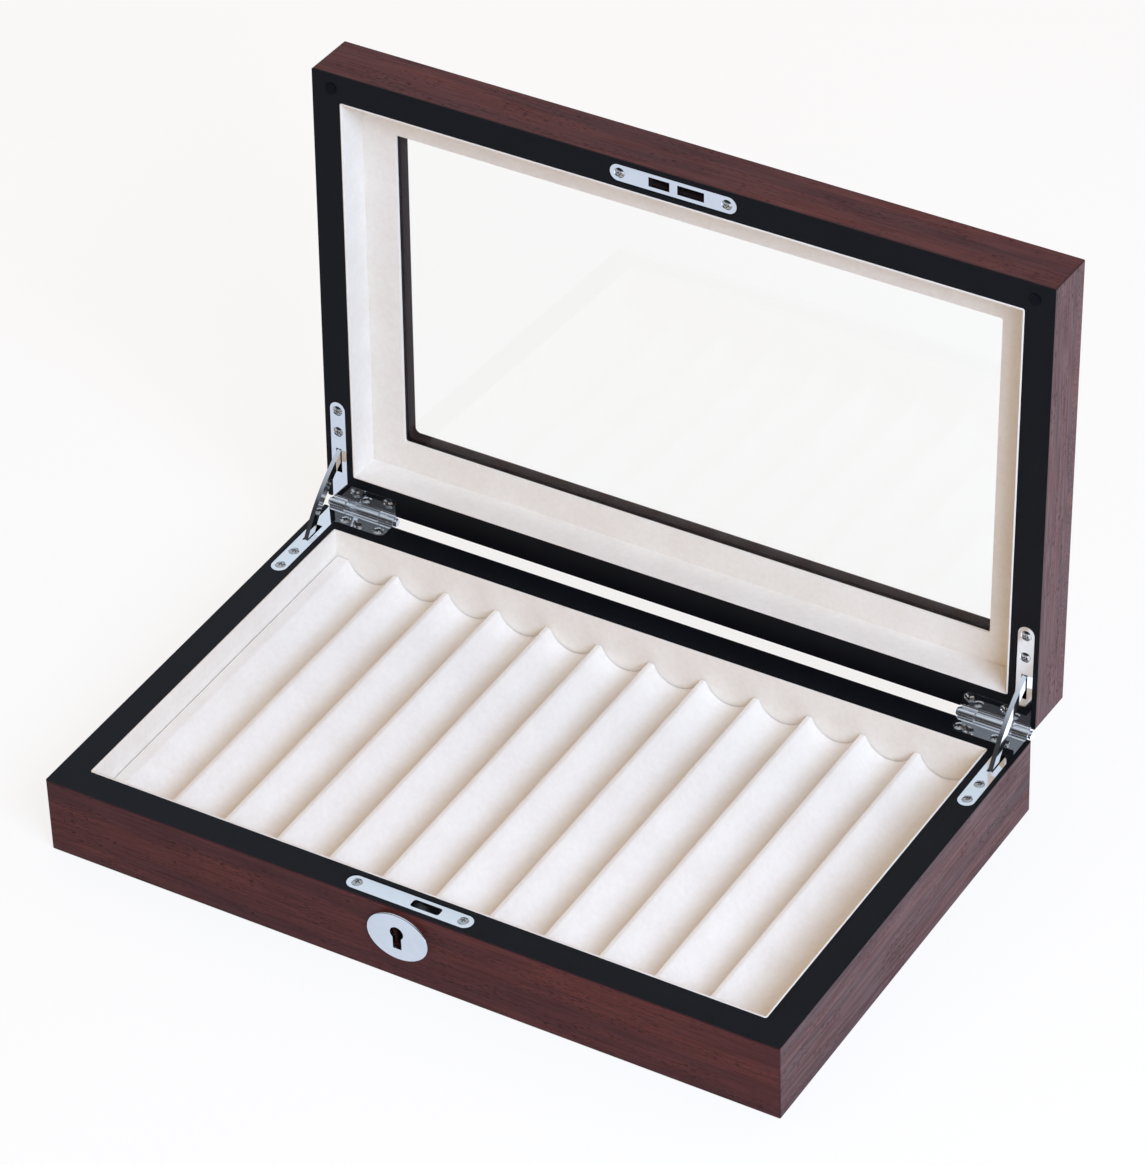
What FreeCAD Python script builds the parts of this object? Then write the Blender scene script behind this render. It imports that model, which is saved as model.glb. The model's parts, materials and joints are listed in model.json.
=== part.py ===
"""A fountain pen case with a glazed lid, standing open.

Millimetres. +X runs to the right, -Y to the front and +Z up, with the origin in the middle of the
underside. The lid and what it carries are drawn shut and then turned open about the hinge axis.
What is on the right-hand hinge is drawn once and mirrored for the left.
"""
import FreeCAD, Part
import math
import os

V = FreeCAD.Vector

# Case boards
CASE_WIDTH = 340.0
CASE_DEPTH = 212.2
BASE_HEIGHT = 36.4
LID_HEIGHT = 25.4
WALL = 13.0
EDGE_ROUND = 0.7
RIM_BAND = 0.8
RIM_CORNER = 1.1
SEAM_GAP = 0.6
OPEN_ANGLE = 92.3

# Underside
FELT = 1.0
BOTTOM_PANEL = 3.5
BOTTOM_REBATE = 6.0
PANEL_CLEARANCE = 0.15

# Lining boards, wrapped in velour
LINING = 1.0

# Grooved tray
TRAY_TOP = 23.6
TRAY_CLEARANCE = 0.3
TRAY_BORDER_LEAST = 4.0
GROOVE_RADIUS = 11.6
GROOVE_DEPTH = 8.7
RIDGE_WIDTH = 2.64
RIDGE_ROUND = 0.85

# Lid window
TOP_PANEL = 5.5
GLASS = 3.0
GLASS_CLEARANCE = 0.2
WINDOW_LINING = 1.2
WINDOW_BORDER = 30.0
WINDOW_SHIFT = 1.8
WINDOW_CORNER = 2.5
WINDOW_LINING_CORNER = 1.0

# Hinge leaves: an L with a side leg along the end board and a back leg along the back board
LEAF = 1.2
HARDWARE_SINK = 0.3
HARDWARE_CLEARANCE = 0.1
HARDWARE_BEVEL = 0.3
LEG_WIDTH = 8.0
LEAF_SIDE_INSET = 2.1
LEAF_SIDE_REACH = 49.5
LEAF_BACK_LENGTH = 32.0
LEAF_BACK_REACH = 8.2
LEAF_CORNER = 3.0

# Hinge barrels and pins
HINGE_BACKSET = 2.9
BARREL_RADIUS = 2.55
KNUCKLE_END = 7.4
KNUCKLE_GAP = 0.3
KNUCKLE_ROUND = 0.35
PIN_RADIUS = 1.1
PIN_SEAT_CLEARANCE = 0.02
PIN_RUN_CLEARANCE = 0.05
PIN_HEAD_RADIUS = 1.9
PIN_HEAD = 1.4
PIN_HEAD_ROUND = 0.9

# Stay arms: their distance from the hinge axis at the leaves when open, and how far they bow outwards
ARM_RADIUS = 24.5
ARM_BOW = 2.0
ARM_WIDTH = 4.4
ARM_THICKNESS = 2.0
ARM_CLEARANCE = 0.35
STOP_RADIUS = 0.8
STOP_OVERHANG = 1.3
STOP_GAP = 0.3
POCKET_CLEARANCE = 0.5

# Screws with domed countersunk heads
SCREW_HEAD_RADIUS = 2.15
SCREW_SEAT = 0.2
SCREW_DOME = 0.65
SCREW_SHANK_RADIUS = 1.05
SCREW_LENGTH = 9.0
SCREW_CLEARANCE = 0.05
SCREW_CROSS_LENGTH = 2.4
SCREW_CROSS_WIDTH = 0.55
SCREW_CROSS_DEPTH = 0.6
LEG_SCREW_END = 4.6
LEG_SCREW_SPACING = 10.7
BACK_SCREW_END = 3.8
BACK_SCREW_SPACING = 16.6
BACK_SCREW_INSET = 5.05

# Lock plate and strike plate, on the middle of the front rims
PLATE_LENGTH = 58.6
PLATE_WIDTH = 8.2
PLATE = 1.5
PLATE_SCREW_SPACING = 49.2
BOLT_SLOT_LEFT = 1.0
BOLT_SLOT_CORNER = 1.2
BOLT_END_ROOM = 1.5
BOLT_SIDE_ROOM = 0.65
STRIKE_SMALL_LEFT = -11.2
STRIKE_SMALL_RIGHT = -1.6
STRIKE_LARGE_LEFT = 2.0
STRIKE_MORTISE_ROOM = 0.8

# Lock hook, turning on a post in line with the keyhole
KEY_X = -1.6
KEY_DROP = 11.2
HOOK_BAR = 2.6
HOOK_THICKNESS = 3.0
HOOK_GAP = 0.5
HOOK_ARC = 62.0
HOOK_WEB_ARC = 16.0
HUB_RADIUS = 3.6
POST_RADIUS = 1.3
POST_CLEARANCE = 0.05
HOOK_SIDE_ROOM = 1.2
LOCK_SHEET = 0.8
LOCK_ROOM = 0.6
LOCK_FIT = 0.2

# Escutcheon and keyhole
ESCUTCHEON_WIDTH = 28.2
ESCUTCHEON_HEIGHT = 22.8
ESCUTCHEON = 2.0
ESCUTCHEON_EDGE = 0.5
ESCUTCHEON_DROP = 13.3
KEYHOLE_RADIUS = 3.1
KEYHOLE_SLOT_WIDTH = 4.0
KEYHOLE_SLOT_DROP = 8.0

# Bumpers let into the lid's rim
BUMPER_RADIUS = 2.5
BUMPER_DEPTH = 1.6
BUMPER_SIDE_INSET = 9.0
BUMPER_FRONT_INSET = 7.3
BUMPER_CLEARANCE = 0.1

# Places worked out from the sizes above
HALF_WIDTH = CASE_WIDTH / 2
HALF_DEPTH = CASE_DEPTH / 2
INNER_X = HALF_WIDTH - WALL
INNER_Y = HALF_DEPTH - WALL
AXIS_Y = HALF_DEPTH + HINGE_BACKSET
AXIS_Z = BASE_HEIGHT + SEAM_GAP / 2
AXIS = V(0, AXIS_Y, AXIS_Z)
LID_RIM = BASE_HEIGHT + SEAM_GAP
LID_TOP = LID_RIM + LID_HEIGHT
TOP_PANEL_UNDER = LID_TOP - TOP_PANEL
GLASS_UNDER = TOP_PANEL_UNDER - GLASS
WINDOW_LINING_UNDER = GLASS_UNDER - WINDOW_LINING
FLOOR_TOP = FELT + BOTTOM_PANEL
HARDWARE_TOP = BASE_HEIGHT - HARDWARE_SINK
PAST = 1.0

LEAF_OUTER = HALF_WIDTH - LEAF_SIDE_INSET
LEAF_INNER = LEAF_OUTER - LEAF_BACK_LENGTH
LEAF_FRONT = HALF_DEPTH - LEAF_SIDE_REACH
LEAF_EDGE = HALF_DEPTH - LEAF_BACK_REACH
LEG_X = LEAF_OUTER - LEG_WIDTH / 2
BASE_KNUCKLES = [(LEAF_INNER, LEAF_INNER + KNUCKLE_END), (LEAF_OUTER - KNUCKLE_END, LEAF_OUTER)]
LID_KNUCKLES = [(BASE_KNUCKLES[0][1] + KNUCKLE_GAP, BASE_KNUCKLES[1][0] - KNUCKLE_GAP)]

STOP_LENGTH = ARM_THICKNESS + 2 * STOP_OVERHANG
HALF_OPEN = math.radians(OPEN_ANGLE / 2)
ARM_HALF_CHORD = ARM_RADIUS * math.sin(HALF_OPEN)
ARM_MIDDLE = ARM_RADIUS * math.cos(HALF_OPEN) + ARM_BOW
ARM_BEND = (ARM_BOW ** 2 + ARM_HALF_CHORD ** 2) / (2 * ARM_BOW)
ARM_INNER = ARM_BEND - ARM_WIDTH / 2
ARM_OUTER = ARM_BEND + ARM_WIDTH / 2
BEND_SHIFT = ARM_BEND - ARM_MIDDLE
BEND_BACK = BEND_SHIFT * math.cos(HALF_OPEN)
BEND_DROP = BEND_SHIFT * math.sin(HALF_OPEN)
BEND_CENTRE = V(0, AXIS_Y + BEND_BACK, AXIS_Z - BEND_DROP)
LEAF_UNDER_DROP = AXIS_Z - HARDWARE_TOP + LEAF
STOP_DROP = LEAF_UNDER_DROP + STOP_GAP + STOP_RADIUS
STOP_ANGLE = HALF_OPEN - math.asin((BEND_DROP - STOP_DROP) / ARM_BEND)
ARM_REACH = STOP_ANGLE + STOP_RADIUS / ARM_BEND

PLATE_Y = -HALF_DEPTH + WALL / 2
KEY_Z = BASE_HEIGHT - KEY_DROP
HOOK_CATCH_HEIGHT = LID_RIM + HARDWARE_SINK + PLATE + HOOK_GAP - KEY_Z
HOOK_INNER = math.hypot(HOOK_CATCH_HEIGHT, STRIKE_LARGE_LEFT - KEY_X)
HOOK_OUTER = HOOK_INNER + HOOK_BAR
PLATE_UNDER_HEIGHT = HARDWARE_TOP - PLATE - KEY_Z
HOOK_NOSE = math.degrees(math.asin((PLATE_UNDER_HEIGHT - HOOK_GAP) / HOOK_OUTER))
HOOK_TAIL = HOOK_NOSE - HOOK_ARC
HOOK_DROP = max(-HOOK_OUTER * math.sin(math.radians(HOOK_TAIL)), HUB_RADIUS, KEYHOLE_SLOT_DROP)
BOLT_SLOT_RIGHT = KEY_X + math.sqrt(HOOK_OUTER ** 2 - PLATE_UNDER_HEIGHT ** 2) + BOLT_END_ROOM
BOLT_SLOT_WIDTH = HOOK_THICKNESS + 2 * BOLT_SIDE_ROOM
LOCK_THICKNESS = HOOK_THICKNESS + 2 * HOOK_SIDE_ROOM + 2 * LOCK_SHEET
LOCK_LEFT = KEY_X - max(HUB_RADIUS, KEYHOLE_RADIUS) - LOCK_ROOM - LOCK_SHEET
LOCK_RIGHT = KEY_X + HOOK_OUTER + LOCK_ROOM + LOCK_SHEET
LOCK_BOTTOM = KEY_Z - HOOK_DROP - LOCK_ROOM - LOCK_SHEET
LOCK_TOP = HARDWARE_TOP - PLATE
LOCK_FRONT = PLATE_Y - LOCK_THICKNESS / 2
LOCK_BACK = PLATE_Y + LOCK_THICKNESS / 2


# Shapes used by several pieces

def box(x0, x1, y0, y1, z0, z1):
    """Upright box between two corners."""
    return Part.makeBox(x1 - x0, y1 - y0, z1 - z0, V(x0, y0, z0))


def middle_box(half_x, half_y, z0, z1):
    """Box centred on the Z axis."""
    return box(-half_x, half_x, -half_y, half_y, z0, z1)


def case_block(z0, z1, rounded_end=None):
    """Outside of the base or lid, its upright edges rounded, and those at one height too."""
    block = middle_box(HALF_WIDTH, HALF_DEPTH, z0, z1)
    edges = upright_edges(block)
    if rounded_end is not None:
        heights = [(edge, edge.BoundBox.Center.z) for edge in block.Edges]
        edges += [edge for edge, height in heights if abs(height - rounded_end) < EDGE_ROUND / 2]
    return block.makeFillet(EDGE_ROUND, edges)


def prism(points, z0, z1):
    """Flat outline, given as x, y corners, raised from z0 to z1."""
    corners = [V(x, y, z0) for x, y in points]
    return Part.Face(Part.makePolygon(corners + corners[:1])).extrude(V(0, 0, z1 - z0))


def obround(middle_x, middle_y, length, width, z0, z1):
    """Plate with two round ends, its length along X."""
    reach = length / 2 - width / 2
    plate = box(middle_x - reach, middle_x + reach, middle_y - width / 2, middle_y + width / 2, z0, z1)
    for x in (middle_x - reach, middle_x + reach):
        plate = plate.fuse(Part.makeCylinder(width / 2, z1 - z0, V(x, middle_y, z0)))
    return plate.removeSplitter()


def upright_edges(shape):
    """Edges of a plain block that stand along Z."""
    spans = [(edge, edge.BoundBox) for edge in shape.Edges]
    return [edge for edge, span in spans if span.ZLength > span.XLength + span.YLength]


def slot(x0, x1, z0, z1):
    """Straight-sided hole along X in the middle of the front rim, wide enough for the hook."""
    return box(x0, x1, PLATE_Y - BOLT_SLOT_WIDTH / 2, PLATE_Y + BOLT_SLOT_WIDTH / 2, z0, z1)


def bevelled(plate, back):
    """Plate of the base's rim with its upper edges bevelled, except one that lies along the back."""
    upper = [edge for edge in plate.Edges if edge.BoundBox.ZMin > HARDWARE_TOP - HARDWARE_BEVEL / 2]
    free = [edge for edge in upper if edge.BoundBox.YMin < back - HARDWARE_BEVEL]
    return plate.makeChamfer(HARDWARE_BEVEL, free)


def other_hand(shape):
    """The same piece for the left-hand side."""
    return shape.mirror(V(0, 0, 0), V(1, 0, 0))


def facing(shape):
    """The same piece on the lid: mirrored across the seam, with the lid shut."""
    return shape.mirror(AXIS, V(0, 0, 1))


def opened(shape):
    """A piece of the shut lid, turned open about the hinge axis."""
    turned = shape.copy()
    turned.rotate(AXIS, V(1, 0, 0), -OPEN_ANGLE)
    return turned


def both_hands(shapes):
    """Right-hand shapes with their left-hand copies."""
    return shapes + [other_hand(shape) for shape in shapes]


# Screws

def screw_places():
    """Where the right-hand base leaf is screwed down."""
    leg = [(LEG_X, LEAF_FRONT + LEG_SCREW_END + i * LEG_SCREW_SPACING) for i in range(2)]
    back_y = HALF_DEPTH - BACK_SCREW_INSET
    back = [(LEAF_INNER + BACK_SCREW_END + i * BACK_SCREW_SPACING, back_y) for i in range(2)]
    return leg + back


def plate_screw_places():
    """Where the lock plate is screwed down."""
    return [(side * PLATE_SCREW_SPACING / 2, PLATE_Y) for side in (-1, 1)]


def screw(x, y, plate):
    """Cross-head screw in a plate of the given thickness: dome, countersunk cone and shank."""
    point = SCREW_LENGTH - SCREW_SHANK_RADIUS
    crown = SCREW_DOME - SCREW_SEAT
    rim = V(SCREW_HEAD_RADIUS, 0, -SCREW_SEAT)
    dome_radius = (SCREW_HEAD_RADIUS ** 2 + SCREW_DOME ** 2) / (2 * SCREW_DOME)
    half_way = SCREW_HEAD_RADIUS / 2
    crown_mid = V(half_way, 0, math.sqrt(dome_radius ** 2 - half_way ** 2) - dome_radius + crown)
    outline = [
        Part.Arc(V(0, 0, crown), crown_mid, rim).toShape(),
        Part.makeLine(rim, V(SCREW_SHANK_RADIUS, 0, -plate)),
        Part.makeLine(V(SCREW_SHANK_RADIUS, 0, -plate), V(SCREW_SHANK_RADIUS, 0, -point)),
        Part.makeLine(V(SCREW_SHANK_RADIUS, 0, -point), V(0, 0, -SCREW_LENGTH)),
        Part.makeLine(V(0, 0, -SCREW_LENGTH), V(0, 0, crown)),
    ]
    body = Part.Face(Part.Wire(outline)).revolve(V(0, 0, 0), V(0, 0, 1), 360)
    long_half = SCREW_CROSS_LENGTH / 2
    thin_half = SCREW_CROSS_WIDTH / 2
    cross_floor = crown - SCREW_CROSS_DEPTH
    cross = middle_box(long_half, thin_half, cross_floor, crown + PAST)
    cross = cross.fuse(middle_box(thin_half, long_half, cross_floor, crown + PAST))
    body = body.cut(cross)
    body.translate(V(x, y, HARDWARE_TOP))
    return body


def screw_hole(x, y, plate):
    """Countersunk hole through a plate and pilot hole below it, a little wider than the screw."""
    flare = (SCREW_HEAD_RADIUS - SCREW_SHANK_RADIUS) / (plate - SCREW_SEAT)
    shank = SCREW_SHANK_RADIUS + SCREW_CLEARANCE
    mouth = shank + flare * plate
    outline = [V(0, 0, PAST), V(mouth, 0, PAST), V(mouth, 0, 0), V(shank, 0, -plate)]
    outline += [V(shank, 0, -SCREW_LENGTH - SCREW_CLEARANCE), V(0, 0, -SCREW_LENGTH - SCREW_CLEARANCE)]
    hole = Part.Face(Part.makePolygon(outline + outline[:1])).revolve(V(0, 0, 0), V(0, 0, 1), 360)
    hole.translate(V(x, y, HARDWARE_TOP))
    return hole


# Hinges

def leaf_plan(z0, z1, grow=0.0, back=HALF_DEPTH):
    """L-shaped plate of the right-hand leaf, grown all round for the recess that it lies in."""
    half = LEG_WIDTH / 2 + grow
    leg_end = LEAF_FRONT + LEG_WIDTH / 2
    corner = LEAF_CORNER + grow
    left = LEAF_INNER - grow
    edge = LEAF_EDGE - grow
    leg = box(LEG_X - half, LEG_X + half, leg_end, back, z0, z1)
    leg_round = Part.makeCylinder(half, z1 - z0, V(LEG_X, leg_end, z0))
    arm = box(left + corner, LEG_X, edge, back, z0, z1)
    arm_end = box(left, left + corner, edge + corner, back, z0, z1)
    arm_round = Part.makeCylinder(corner, z1 - z0, V(left + corner, edge + corner, z0))
    return leg.fuse([leg_round, arm, arm_end, arm_round]).removeSplitter()


def leaf_recess():
    """Room cut for a right-hand leaf in the base's rim, open at the back."""
    return leaf_plan(HARDWARE_TOP - LEAF, BASE_HEIGHT + PAST, HARDWARE_CLEARANCE, HALF_DEPTH + PAST)


def arm_slot():
    """Hole in the right-hand base leaf, long enough for the stay arm at every angle of the lid."""
    half = ARM_THICKNESS / 2 + ARM_CLEARANCE
    open_reach = math.sqrt(ARM_OUTER ** 2 - (BEND_DROP - LEAF_UNDER_DROP) ** 2) - BEND_BACK
    front = AXIS_Y - open_reach - ARM_CLEARANCE
    back = AXIS_Y - ARM_MIDDLE + ARM_WIDTH / 2 + ARM_CLEARANCE
    return box(LEG_X - half, LEG_X + half, front, back, HARDWARE_TOP - LEAF - PAST, HARDWARE_TOP + PAST)


def hinge_leaf(knuckles, pin_clearance):
    """Right-hand base leaf: plate with slot and screw holes, and its knuckles round the pin."""
    leaf = bevelled(leaf_plan(HARDWARE_TOP - LEAF, HARDWARE_TOP), HALF_DEPTH)
    for x0, x1 in knuckles:
        leaf = leaf.fuse(box(x0, x1, HALF_DEPTH - PAST, AXIS_Y, HARDWARE_TOP - LEAF, HARDWARE_TOP))
        knuckle = Part.makeCylinder(BARREL_RADIUS, x1 - x0, V(x0, AXIS_Y, AXIS_Z), V(1, 0, 0))
        ends = [edge for edge in knuckle.Edges if edge.BoundBox.XLength < KNUCKLE_ROUND]
        leaf = leaf.fuse(knuckle.makeFillet(KNUCKLE_ROUND, ends))
    bore_start = V(LEAF_INNER - PAST, AXIS_Y, AXIS_Z)
    bore_length = LEAF_BACK_LENGTH + 2 * PAST
    bore = Part.makeCylinder(PIN_RADIUS + pin_clearance, bore_length, bore_start, V(1, 0, 0))
    holes = [screw_hole(x, y, LEAF) for x, y in screw_places()]
    return leaf.removeSplitter().cut([bore, arm_slot()] + holes)


def hinge_pin():
    """Right-hand hinge pin with a domed head past each end of the barrel."""
    pin = Part.makeCylinder(PIN_RADIUS, LEAF_BACK_LENGTH, V(LEAF_INNER, AXIS_Y, AXIS_Z), V(1, 0, 0))
    for x, way in ((LEAF_INNER, -1), (LEAF_OUTER, 1)):
        head = Part.makeCylinder(PIN_HEAD_RADIUS, PIN_HEAD, V(x, AXIS_Y, AXIS_Z), V(way, 0, 0))
        tip = x + way * PIN_HEAD
        rim = [edge for edge in head.Edges if abs(edge.BoundBox.Center.x - tip) < PIN_HEAD / 4]
        pin = pin.fuse(head.makeFillet(PIN_HEAD_ROUND, rim[:1]))
    return pin.removeSplitter()


def stay_arm():
    """Right-hand stay arm: a slightly bent bar from leaf to leaf, with a stop pin across each end."""
    half = ARM_THICKNESS / 2
    corners = [(LEG_X - half, ARM_OUTER), (LEG_X + half, ARM_OUTER)]
    corners += [(LEG_X + half, ARM_INNER), (LEG_X - half, ARM_INNER)]
    points = [V(x, BEND_CENTRE.y - reach, BEND_CENTRE.z) for x, reach in corners]
    section = Part.Face(Part.makePolygon(points + points[:1]))
    upward = V(-1, 0, 0)
    arm = section.revolve(BEND_CENTRE, upward, math.degrees(2 * ARM_REACH))
    arm.rotate(BEND_CENTRE, upward, math.degrees(HALF_OPEN - ARM_REACH))
    stop_start = V(LEG_X - STOP_LENGTH / 2, BEND_CENTRE.y - ARM_BEND, BEND_CENTRE.z)
    for angle in (HALF_OPEN - STOP_ANGLE, HALF_OPEN + STOP_ANGLE):
        stop = Part.makeCylinder(STOP_RADIUS, STOP_LENGTH, stop_start, V(1, 0, 0))
        stop.rotate(BEND_CENTRE, upward, math.degrees(angle))
        arm = arm.fuse(stop)
    return arm


def arm_pocket():
    """Room in the right-hand base boards for half of the stay arm when the lid is shut."""
    half = STOP_LENGTH / 2 + POCKET_CLEARANCE
    tip_depth = ARM_OUTER * math.sin(ARM_REACH)
    tip_radius = math.hypot(ARM_OUTER * math.cos(ARM_REACH) - BEND_SHIFT, tip_depth)
    front = AXIS_Y - tip_radius - POCKET_CLEARANCE
    back = AXIS_Y + BEND_SHIFT - ARM_INNER * math.cos(ARM_REACH) + POCKET_CLEARANCE
    floor = AXIS_Z - tip_depth - POCKET_CLEARANCE
    return box(LEG_X - half, LEG_X + half, front, back, floor, HARDWARE_TOP)


# Lock

def key_hole():
    """Keyhole from the front of the escutcheon into the lock case: a round with a slot below."""
    front = -HALF_DEPTH - ESCUTCHEON - PAST
    length = LOCK_FRONT + LOCK_SHEET - front
    hole = Part.makeCylinder(KEYHOLE_RADIUS, length, V(KEY_X, front, KEY_Z), V(0, 1, 0))
    half = KEYHOLE_SLOT_WIDTH / 2
    bit = box(KEY_X - half, KEY_X + half, front, front + length, KEY_Z - KEYHOLE_SLOT_DROP, KEY_Z)
    return hole.fuse(bit)


def lock_mortise():
    """Room in the base's front board for the lock case."""
    return box(LOCK_LEFT - LOCK_FIT, LOCK_RIGHT + LOCK_FIT, LOCK_FRONT - LOCK_FIT, LOCK_BACK + LOCK_FIT,
               LOCK_BOTTOM - LOCK_FIT, BASE_HEIGHT + PAST)


def plate_recess():
    """Room cut for the lock plate in the base's rim."""
    return obround(0, PLATE_Y, PLATE_LENGTH + 2 * HARDWARE_CLEARANCE, PLATE_WIDTH + 2 * HARDWARE_CLEARANCE,
                   HARDWARE_TOP - PLATE, BASE_HEIGHT + PAST)


def front_plate(holes):
    """Plate for the base's front rim with two screw holes and the given straight holes."""
    plate = bevelled(obround(0, PLATE_Y, PLATE_LENGTH, PLATE_WIDTH, HARDWARE_TOP - PLATE, HARDWARE_TOP), 0)
    return plate.cut(holes + [screw_hole(x, y, PLATE) for x, y in plate_screw_places()])


def plate_hole(x0, x1):
    """Straight hole through the plate on the base's front rim."""
    return slot(x0, x1, HARDWARE_TOP - PLATE - PAST, HARDWARE_TOP + PAST)


def bolt_hole():
    """Hole that the hook comes up through, with rounded corners."""
    hole = plate_hole(BOLT_SLOT_LEFT, BOLT_SLOT_RIGHT)
    return hole.makeFillet(BOLT_SLOT_CORNER, upright_edges(hole))


def lock_case():
    """Open-topped sheet box under the lock plate, with the keyhole in its front."""
    case = box(LOCK_LEFT, LOCK_RIGHT, LOCK_FRONT, LOCK_BACK, LOCK_BOTTOM, LOCK_TOP)
    room = box(LOCK_LEFT + LOCK_SHEET, LOCK_RIGHT - LOCK_SHEET, LOCK_FRONT + LOCK_SHEET,
               LOCK_BACK - LOCK_SHEET, LOCK_BOTTOM + LOCK_SHEET, LOCK_TOP + PAST)
    return case.cut([room, key_hole()])


def lock_post():
    """Post that stands on the back of the lock case, in line with the keyhole."""
    length = LOCK_THICKNESS - 2 * LOCK_SHEET
    return Part.makeCylinder(POST_RADIUS, length, V(KEY_X, LOCK_BACK - LOCK_SHEET, KEY_Z), V(0, -1, 0))


def ring_part(inner, outer, start, end):
    """Part of a ring about the keyhole axis; angles run from +X towards +Z."""
    front = PLATE_Y - HOOK_THICKNESS / 2
    centre = V(KEY_X, PLATE_Y, KEY_Z)
    points = [V(KEY_X + r, front + d, KEY_Z) for r, d in
              ((inner, 0), (outer, 0), (outer, HOOK_THICKNESS), (inner, HOOK_THICKNESS))]
    upward = V(0, -1, 0)
    part = Part.Face(Part.makePolygon(points + points[:1])).revolve(centre, upward, end - start)
    part.rotate(centre, upward, start)
    return part


def lock_hook():
    """Swinging hook: hub on the post, web, and a curved bar that ends in the nose."""
    hub_start = V(KEY_X, PLATE_Y + HOOK_THICKNESS / 2, KEY_Z)
    hub = Part.makeCylinder(HUB_RADIUS, HOOK_THICKNESS, hub_start, V(0, -1, 0))
    bar = ring_part(HOOK_INNER, HOOK_OUTER, HOOK_TAIL, HOOK_NOSE)
    web_start = POST_RADIUS + POST_CLEARANCE + LOCK_SHEET
    web = ring_part(web_start, HOOK_OUTER, HOOK_TAIL, HOOK_TAIL + HOOK_WEB_ARC)
    hook = hub.fuse([bar, web]).removeSplitter()
    return hook.cut(Part.makeCylinder(POST_RADIUS + POST_CLEARANCE, HOOK_THICKNESS, hub_start, V(0, -1, 0)))


def escutcheon():
    """Oval plate on the front board with an eased edge and the keyhole through it."""
    middle = V(KEY_X, 0, 0)
    oval = Part.Ellipse(middle, ESCUTCHEON_WIDTH / 2, ESCUTCHEON_HEIGHT / 2).toShape()
    plate = Part.Face(Part.Wire(oval)).extrude(V(0, 0, ESCUTCHEON))
    front_edge = [edge for edge in plate.Edges if edge.BoundBox.ZMin > ESCUTCHEON / 2]
    plate = plate.makeFillet(ESCUTCHEON_EDGE, front_edge)
    plate.rotate(V(0, 0, 0), V(1, 0, 0), 90)
    plate.translate(V(0, -HALF_DEPTH, BASE_HEIGHT - ESCUTCHEON_DROP))
    return plate.cut(key_hole())


# Boards

def mitred_walls(block, cuts):
    """The four boards of a box, parted at its corner mitres, with cuts taken out of each."""
    low, high = block.BoundBox.ZMin, block.BoundBox.ZMax
    corners = [(-1, -1), (1, -1), (1, 1), (-1, 1)]
    outer = [(x * HALF_WIDTH, y * HALF_DEPTH) for x, y in corners]
    inner = [(x * INNER_X, y * INNER_Y) for x, y in corners]
    walls = {}
    for i, side in enumerate(("front", "right", "back", "left")):
        j = (i + 1) % len(outer)
        wedge = prism([outer[i], outer[j], inner[j], inner[i]], low, high)
        walls[side] = wedge.common(block).cut(cuts)
    return walls


def rim_ring():
    """Black band on top of the base's boards, its inner corners rounded."""
    inside = middle_box(INNER_X, INNER_Y, BASE_HEIGHT - RIM_BAND - PAST, BASE_HEIGHT + PAST)
    inside = inside.makeFillet(RIM_CORNER, upright_edges(inside))
    return case_block(BASE_HEIGHT - RIM_BAND, BASE_HEIGHT).cut(inside)


def hinge_cuts():
    """Recesses, pockets and pilot holes that both hinges need in the base."""
    right = [leaf_recess(), arm_pocket()] + [screw_hole(x, y, LEAF) for x, y in screw_places()]
    return both_hands(right)


def plate_cuts():
    """Recess and pilot holes for the plate on the base's front rim."""
    return [plate_recess()] + [screw_hole(x, y, PLATE) for x, y in plate_screw_places()]


def strike_mortise():
    """Room for the hook in the shut lid's front board, behind the strike plate's holes."""
    top = KEY_Z + HOOK_OUTER + STRIKE_MORTISE_ROOM
    return slot(STRIKE_SMALL_LEFT, BOLT_SLOT_RIGHT, LID_RIM - PAST, top)


def bumper_places():
    """Where the bumpers sit on the lid's rim, at its front corners."""
    return [(side * (HALF_WIDTH - BUMPER_SIDE_INSET), -HALF_DEPTH + BUMPER_FRONT_INSET) for side in (-1, 1)]


def bumper(x, y, grow=0.0):
    """Bumper disc of the shut lid, standing a little short of the base's rim."""
    low = BASE_HEIGHT + BUMPER_CLEARANCE
    return Part.makeCylinder(BUMPER_RADIUS + grow, LID_RIM + BUMPER_DEPTH - low, V(x, y, low))


def lining_boards(z0, z1):
    """Four lining boards against the inner faces of the walls; the end ones fit between the others."""
    return {
        "front": box(-INNER_X, INNER_X, -INNER_Y, -INNER_Y + LINING, z0, z1),
        "back": box(-INNER_X, INNER_X, INNER_Y - LINING, INNER_Y, z0, z1),
        "left": box(-INNER_X, -INNER_X + LINING, -INNER_Y + LINING, INNER_Y - LINING, z0, z1),
        "right": box(INNER_X - LINING, INNER_X, -INNER_Y + LINING, INNER_Y - LINING, z0, z1),
    }


def window_hole(z0, z1, corner):
    """Window opening through a layer of the lid's top, its corners rounded, a little towards the hinges."""
    hole = middle_box(HALF_WIDTH - WINDOW_BORDER, HALF_DEPTH - WINDOW_BORDER, z0 - PAST, z1 + PAST)
    hole.translate(V(0, WINDOW_SHIFT, 0))
    return hole.makeFillet(corner, upright_edges(hole))


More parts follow.
